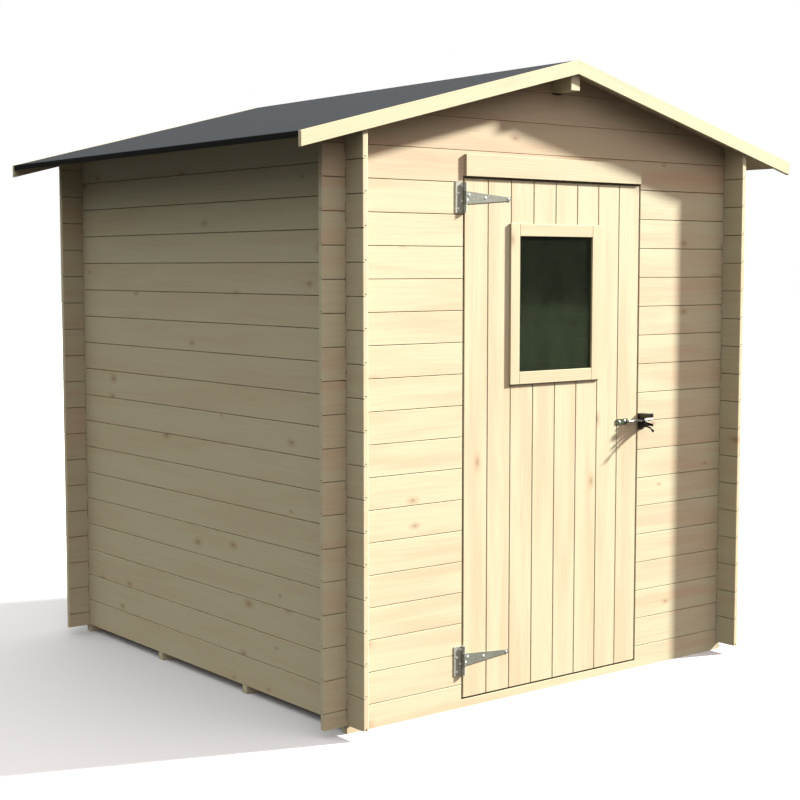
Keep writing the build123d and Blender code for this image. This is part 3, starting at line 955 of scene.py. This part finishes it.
def solid(name, rings):
    """A closed solid over rings of points, as an object in the scene."""
    mesh = bmesh.new()
    skin(mesh, [[mesh.verts.new(point) for point in ring] for ring in rings])
    bmesh.ops.recalc_face_normals(mesh, faces=mesh.faces)
    item = bpy.data.objects.new(name, bpy.data.meshes.new(name))
    mesh.to_mesh(item.data)
    mesh.free()
    bpy.context.scene.collection.objects.link(item)
    return item


def screw_mesh():
    """A round screw head of radius 1 that faces -Y, with a cross sunk into it."""
    turns = [2 * math.pi * number / SCREW_SIDES for number in range(SCREW_SIDES)]
    rises = [SCREW_RISE * math.sqrt(1 - radius * radius) for radius in SCREW_RINGS]
    head = solid("screw_head", [
        [(radius * math.cos(turn), -rise, radius * math.sin(turn)) for turn in turns]
        for radius, rise in zip(SCREW_RINGS, rises)
    ])
    arm = CROSS_REACH
    half = CROSS_WIDTH / 2
    cross = [(half, half), (half, arm), (-half, arm), (-half, half), (-arm, half),
             (-arm, -half), (-half, -half), (-half, -arm), (half, -arm), (half, -half),
             (arm, -half), (arm, half)]
    depths = (CROSS_DEPTH - SCREW_RISE, -2 * SCREW_RISE)
    cutter = solid("screw_cross", [[(x, y, z) for x, z in cross] for y in depths])
    cut = head.modifiers.new("cross", "BOOLEAN")
    cut.object = cutter
    cut.operation = "DIFFERENCE"
    cut.solver = "EXACT"
    made = bpy.data.meshes.new_from_object(
        head.evaluated_get(bpy.context.evaluated_depsgraph_get())
    )
    bpy.data.objects.remove(head)
    bpy.data.objects.remove(cutter)
    return made


screw_pattern = screw_mesh()


def make_screws(name, body, slot, places, radius):
    """Screw heads that face -Y, at these places."""
    mesh = bmesh.new()
    for place in places:
        before = len(mesh.verts)
        mesh.from_mesh(screw_pattern)
        mesh.verts.ensure_lookup_table()
        turn = chance.uniform(0, math.pi)
        for vertex in mesh.verts[before:]:
            x, y, z = vertex.co * radius
            vertex.co = Vector((
                x * math.cos(turn) - z * math.sin(turn),
                y,
                x * math.sin(turn) + z * math.cos(turn),
            )) + Vector(place)
    finished(mesh, name, body, screw_zinc, slot, smooth=SCREW_SMOOTH)


def dress(node, material, edge=SOFT_EDGE):
    """A finish and softened edges for a node that stays as it is."""
    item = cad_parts[node]
    item.data.materials.clear()
    item.data.materials.append(material)
    soft = item.modifiers.new("edges", "BEVEL")
    soft.width = edge
    soft.segments = 2
    soft.limit_method = "ANGLE"
    soft.angle_limit = math.radians(SOFT_EDGE_ANGLE)


def dress_hinges():
    """Zinc finish and screws on the strap hinges."""
    sheet = -half_depth - HINGE_SHEET
    for place in ("top", "bottom"):
        low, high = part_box(f"hinge_plate_{place}")
        middle = (low.z + high.z) / 2
        pin_x = high.x - (high.y - low.y) / 2
        # Painted light: the plate's lighter zinc offsets the barrel's shadow on it
        dress(f"hinge_plate_{place}", plate_zinc_painted_light)
        dress(f"hinge_strap_{place}", hinge_zinc)
        make_screws(f"hinge_plate_screws_{place}", "shed", "galvanised_steel",
                    [(pin_x - x, sheet, middle + z) for x, z in PLATE_SCREWS], HINGE_SCREW)
        make_screws(f"hinge_strap_screws_{place}", "door", "galvanised_steel",
                    [(pin_x + x, sheet, middle + z) for x, z in STRAP_SCREWS], HINGE_SCREW)


def dress_latch():
    """Dark finish on the latch, with a bright bar, and the screws in its plate."""
    dress("latch_keeper", latch_metal)
    dress("latch_lever", latch_metal)
    dress("latch_striker", striker_metal)
    low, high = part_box("latch_striker")
    middle = (low.z + high.z) / 2
    sheet = -half_depth - STRIKER_SHEET
    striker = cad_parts["latch_striker"].data
    striker.materials.append(bar_metal)
    for face in striker.polygons:
        if face.center.y < sheet - BAR_MARGIN:
            face.material_index = 1
    make_screws("latch_screws", "door", "latch_steel",
                [(low.x + x, sheet, middle + z) for x, z in STRIKER_SCREWS], LATCH_SCREW)


def make_ground():
    """Pale floor. It shows and takes shadows, and gives no light back."""
    mesh = bmesh.new()
    bmesh.ops.create_circle(mesh, cap_ends=True, segments=FLOOR_SIDES, radius=FLOOR_RADIUS)
    data = bpy.data.meshes.new("studio_floor")
    mesh.to_mesh(data)
    mesh.free()
    data.materials.append(studio_floor())
    ground = bpy.data.objects.new("studio_floor", data)
    bpy.context.scene.collection.objects.link(ground)
    ground.visible_diffuse = False
    ground.visible_glossy = False


def make_net():
    """Net between the key light and the right wall. Only its shadow shows."""
    material, tree, shader = new_material("studio_net")
    tree.nodes.remove(shader)
    veil = tree.nodes.new("ShaderNodeBsdfTransparent")
    veil.inputs["Color"].default_value = (NET_PASSES, NET_PASSES, NET_PASSES, 1)
    tree.links.new(veil.outputs["BSDF"], tree.nodes["Material Output"].inputs["Surface"])
    front, back = NET_Y
    low, high = NET_Z
    corners = [(NET_X, front, low), (NET_X, back, low), (NET_X, back, high), (NET_X, front, high)]
    data = bpy.data.meshes.new("studio_net")
    data.from_pydata(corners, [], [(0, 1, 2, 3)])
    data.materials.append(material)
    net = bpy.data.objects.new("studio_net", data)
    bpy.context.scene.collection.objects.link(net)
    net.visible_camera = False
    net.visible_diffuse = False
    net.visible_glossy = False
    net.visible_transmission = False


def make_camera():
    """Camera at the photograph's place."""
    lens = bpy.data.cameras.new("camera")
    lens.lens = CAMERA_LENS
    lens.sensor_width = CAMERA_SENSOR
    camera = bpy.data.objects.new("camera", lens)
    camera.location = CAMERA_PLACE
    camera.rotation_euler = (math.radians(90 - CAMERA_DROP), 0, math.radians(-CAMERA_TURN))
    bpy.context.scene.collection.objects.link(camera)
    bpy.context.scene.camera = camera


def make_key_light():
    """Soft sun from the front right."""
    sun = bpy.data.lights.new("key", "SUN")
    sun.energy = KEY_STRENGTH
    sun.angle = math.radians(KEY_ANGLE)
    sun.color = KEY_COLOUR
    key = bpy.data.objects.new("key", sun)
    key.rotation_euler = Vector(KEY_TRAVEL).to_track_quat("-Z", "Y").to_euler()
    bpy.context.scene.collection.objects.link(key)


def sky_light(tree):
    """Light that grows with height, cool from the left and from behind, warm from the front."""
    direction = tree.nodes.new("ShaderNodeTexCoord").outputs["Generated"]
    parts = tree.nodes.new("ShaderNodeSeparateXYZ")
    tree.links.new(direction, parts.inputs["Vector"])
    light = tree.nodes["Background"]
    frontal = calc(tree, "SUBTRACT", parts.outputs["X"], parts.outputs["Y"])
    tint = blend(tree, spread(tree, frontal, -1.0, 1.0), (*LEFT_TINT, 1), (*FRONT_TINT, 1))
    tree.links.new(tint, light.inputs["Color"])
    ahead = calc(tree, "MINIMUM", parts.outputs["Y"], 0.0)
    lift = calc(tree, "MULTIPLY", calc(tree, "MULTIPLY", ahead, ahead), FRONT_LIFT)
    height = calc(tree, "ADD", parts.outputs["Z"], lift)
    strength = spread(tree, height, SKY_START, SKY_FULL, GROUND_LIGHT, SKY_LIGHT)
    tree.links.new(strength, light.inputs["Strength"])
    return light.outputs["Background"]


def white_backdrop(tree):
    """Even white."""
    backdrop = tree.nodes.new("ShaderNodeBackground")
    backdrop.inputs["Color"].default_value = (1.0, 1.0, 1.0, 1)
    backdrop.inputs["Strength"].default_value = BACKDROP
    return backdrop.outputs["Background"]


def make_surroundings():
    """The light of the sky, and the backdrop in its place for the camera."""
    world = bpy.data.worlds.new("studio")
    world.use_nodes = True
    bpy.context.scene.world = world
    tree = world.node_tree
    path = tree.nodes.new("ShaderNodeLightPath")
    mix = tree.nodes.new("ShaderNodeMixShader")
    tree.links.new(path.outputs["Is Camera Ray"], mix.inputs["Fac"])
    tree.links.new(sky_light(tree), mix.inputs[1])
    tree.links.new(white_backdrop(tree), mix.inputs[2])
    tree.links.new(mix.outputs["Shader"], tree.nodes["World Output"].inputs["Surface"])
    bpy.context.scene.view_settings.view_transform = "Standard"


# Studio
make_ground()
make_net()
make_camera()
make_key_light()
make_surroundings()

# Boarding, roof and floor
for wall_name in ("left_wall", "right_wall"):
    make_side_wall(wall_name, *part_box(wall_name))
make_front_walls()
make_front_gable()
make_back_wall()
make_door_boards()
make_floor()
make_roof_boards()
for felt_name, felt_side in (("roof_felt_left", -1), ("roof_felt_right", 1)):
    make_felt(felt_name, felt_side)

# Timbers and trim
make_bargeboards()
make_ridge_beam()
make_brace()
make_beading()
make_plain("joist_front", level_along_x, X, "shed", wall_pine, "joist_wood", FINE_EDGE)
for joist in ("joist_middle_front", "joist_middle_back", "joist_back"):
    make_plain(joist, level_along_x, X, "shed", sawn_pine, "joist_wood")
make_plain("door_header", facing, X, "shed", header_pine, "trim_wood")
for post in ("door_post_left", "door_post_right"):
    make_plain(post, upright, Z, "shed", frame_pine, "frame_wood")
make_plain("door_lintel", facing, X, "shed", frame_pine, "frame_wood")
for ledge in ("door_ledge_top", "door_ledge_middle", "door_ledge_bottom"):
    make_plain(ledge, facing, X, "door", frame_pine, "frame_wood")
for stile in ("window_stile_left", "window_stile_right"):
    make_plain(stile, upright, Z, "door", trim_pine, "trim_wood")
for rail in ("window_rail_top", "window_rail_bottom"):
    make_plain(rail, facing, X, "door", trim_pine, "trim_wood")

# Ironmongery and glass
dress_hinges()
dress_latch()
dress("window_glass", glass_finish, GLASS_EDGE)
